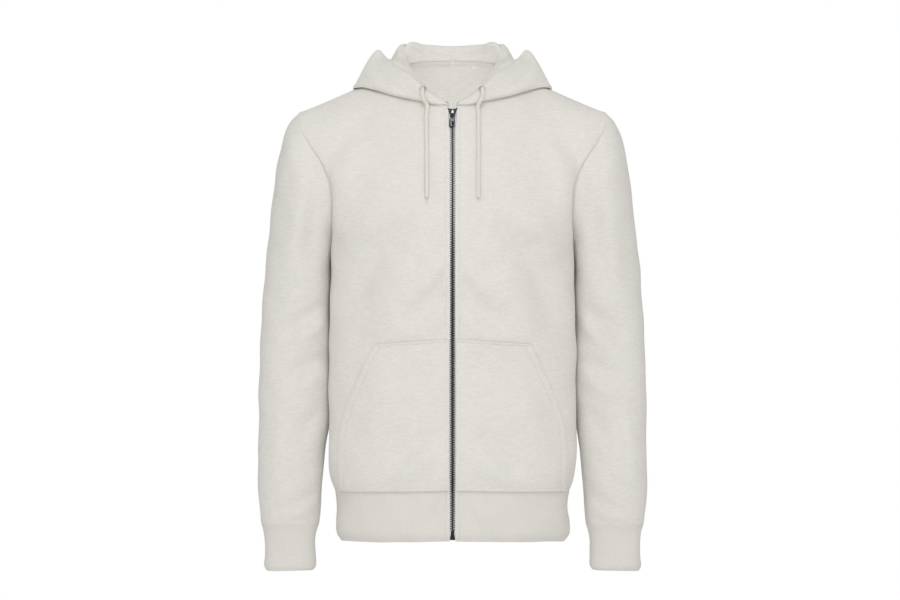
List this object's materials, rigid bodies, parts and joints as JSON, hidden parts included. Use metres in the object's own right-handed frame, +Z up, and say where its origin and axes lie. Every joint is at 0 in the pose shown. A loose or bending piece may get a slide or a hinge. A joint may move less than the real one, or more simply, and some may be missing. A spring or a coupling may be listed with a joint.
{
  "type": "zip up hoodie",
  "caption": "Hooded sweatshirt filled out as worn, with a closed front zip, a hood thrown back, pouch pockets, and ribbed hem and cuffs.",
  "frame": {"origin": "in the neck opening, on the garment's mid plane, level with the high points of the shoulder seams, where the wearer carries it", "axes": "+Z up, the front faces -Y, +X is the wearer's left"},
  "size_m": [0.5834, 0.2735, 0.7975],
  "materials": {
    "fleece": "matte off-white cotton fleece with faint flecks",
    "rib": "matte off-white fine rib knit",
    "cord": "matte off-white braided round cord",
    "eyelet_thread": "matte off-white stitching",
    "zip_tape": "matte cool white woven tape",
    "neck_tape": "matte off-white twill tape",
    "label": "smooth white woven label, blank",
    "zip_metal": "semi-gloss dark gunmetal"
  },
  "bodies": {
    "garment": {"front_left": "fleece", "front_right": "fleece", "back": "fleece", "hem_band": "rib", "sleeve_left": "fleece", "sleeve_right": "fleece", "cuff_left": "rib", "cuff_right": "rib", "hood_left": "fleece", "hood_right": "fleece", "pocket_left": "fleece", "pocket_right": "fleece", "zip_tape_left": "zip_tape", "zip_tape_right": "zip_tape", "zip_chain": "zip_metal", "zip_box": "zip_metal", "zip_slider": "zip_metal", "eyelet_left": "eyelet_thread", "eyelet_right": "eyelet_thread", "drawcord_left": "cord", "drawcord_right": "cord", "neck_tape": "neck_tape", "size_label": "label"},
    "pull_tab": {"zip_tab": "zip_metal"}
  },
  "joints": [
    {"name": "pull_tab_swing", "type": "hinge", "parent": "garment", "child": "pull_tab", "pos_m": [0, -0.0849, -0.07144], "axis": [-1, 0, 0], "range_deg": [0, 160]}
  ]
}
